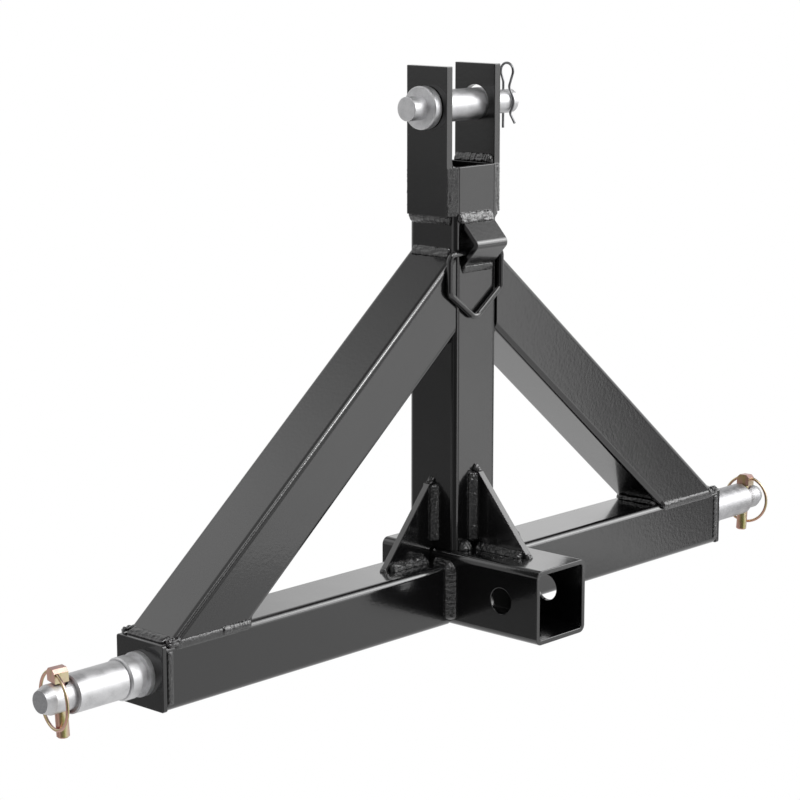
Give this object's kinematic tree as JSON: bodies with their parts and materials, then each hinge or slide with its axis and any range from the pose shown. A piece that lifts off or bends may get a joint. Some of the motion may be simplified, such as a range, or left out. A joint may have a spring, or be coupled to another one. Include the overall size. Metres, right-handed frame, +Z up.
{
  "type": "three point trailer hitch",
  "caption": "Square tube A-frame carried by a tractor's three point linkage, with a receiver socket in front, lower pins at the beam ends and a clevis for the top link.",
  "frame": {"origin": "midway between the two lower pins, on their common axis", "axes": "+X along the beam to the right, +Z up, and the receiver mouth faces -Y"},
  "size_m": [0.8608, 0.165, 0.4512],
  "materials": {
    "black_paint": "glossy black powder coat",
    "painted_bead": "glossy black powder coat over a rippled weld",
    "bright_zinc": "bright zinc plate, satin",
    "yellow_zinc": "yellow zinc plate",
    "spring_wire": "dark spring steel"
  },
  "bodies": {
    "frame": {"receiver_tube": "black_paint", "left_cross_tube": "black_paint", "right_cross_tube": "black_paint", "left_end_plate": "black_paint", "right_end_plate": "black_paint", "left_lower_pin": "bright_zinc", "right_lower_pin": "bright_zinc", "mast_tube": "black_paint", "left_clevis_plate": "black_paint", "right_clevis_plate": "black_paint", "left_brace": "black_paint", "right_brace": "black_paint", "left_gusset": "black_paint", "right_gusset": "black_paint", "front_gusset": "black_paint", "ring_bracket": "black_paint", "receiver_welds": "painted_bead", "mast_welds": "painted_bead", "brace_welds": "painted_bead", "gusset_welds": "painted_bead", "end_plate_welds": "painted_bead", "clevis_welds": "painted_bead", "bracket_welds": "painted_bead"},
    "left_sleeve": {"left_sleeve": "bright_zinc"},
    "right_sleeve": {"right_sleeve": "bright_zinc"},
    "left_linchpin": {"left_linchpin": "yellow_zinc"},
    "right_linchpin": {"right_linchpin": "yellow_zinc"},
    "left_linchpin_ring": {"left_linchpin_ring": "yellow_zinc"},
    "right_linchpin_ring": {"right_linchpin_ring": "yellow_zinc"},
    "top_sleeve": {"top_sleeve": "bright_zinc"},
    "top_pin": {"top_pin": "bright_zinc"},
    "hairpin_clip": {"hairpin_clip": "spring_wire"},
    "shield_ring": {"shield_ring": "black_paint"}
  },
  "joints": [
    {"name": "left_sleeve_turn", "type": "hinge", "parent": "frame", "child": "left_sleeve", "pos_m": [-0.3826, 0, 0], "axis": [1, 0, 0], "continuous": true},
    {"name": "right_sleeve_turn", "type": "hinge", "parent": "frame", "child": "right_sleeve", "pos_m": [0.3826, 0, 0], "axis": [1, 0, 0], "continuous": true},
    {"name": "left_linchpin_lift", "type": "slide", "parent": "frame", "child": "left_linchpin", "axis": [-0.061, 0, 0.9981], "range_m": [0, 0.01]},
    {"name": "right_linchpin_lift", "type": "slide", "parent": "frame", "child": "right_linchpin", "axis": [0.0958, 0, 0.9954], "range_m": [0, 0.01]},
    {"name": "left_ring_swing", "type": "hinge", "parent": "left_linchpin", "child": "left_linchpin_ring", "pos_m": [-0.41721, 0.00088, 0.01763], "axis": [0.2245, 0.9744, 0.0137], "range_deg": [0, 175]},
    {"name": "right_ring_swing", "type": "hinge", "parent": "right_linchpin", "child": "right_linchpin_ring", "pos_m": [0.41788, 0.00054, 0.01745], "axis": [0.1385, -0.9903, -0.0133], "range_deg": [0, 175]},
    {"name": "top_sleeve_turn", "type": "hinge", "parent": "frame", "child": "top_sleeve", "pos_m": [0, 0, 0.3888], "axis": [1, 0, 0], "continuous": true},
    {"name": "top_pin_slide", "type": "slide", "parent": "frame", "child": "top_pin", "axis": [-1, 0, 0], "range_m": [0, 0.024]},
    {"name": "clip_pull", "type": "slide", "parent": "top_pin", "child": "hairpin_clip", "axis": [0, 0, 1], "range_m": [0, 0.036], "deforming": ["hairpin_clip"]},
    {"name": "shield_ring_swing", "type": "hinge", "parent": "frame", "child": "shield_ring", "pos_m": [0, -0.028, 0.27583], "axis": [-1, 0, 0], "range_deg": [0, 170]}
  ]
}
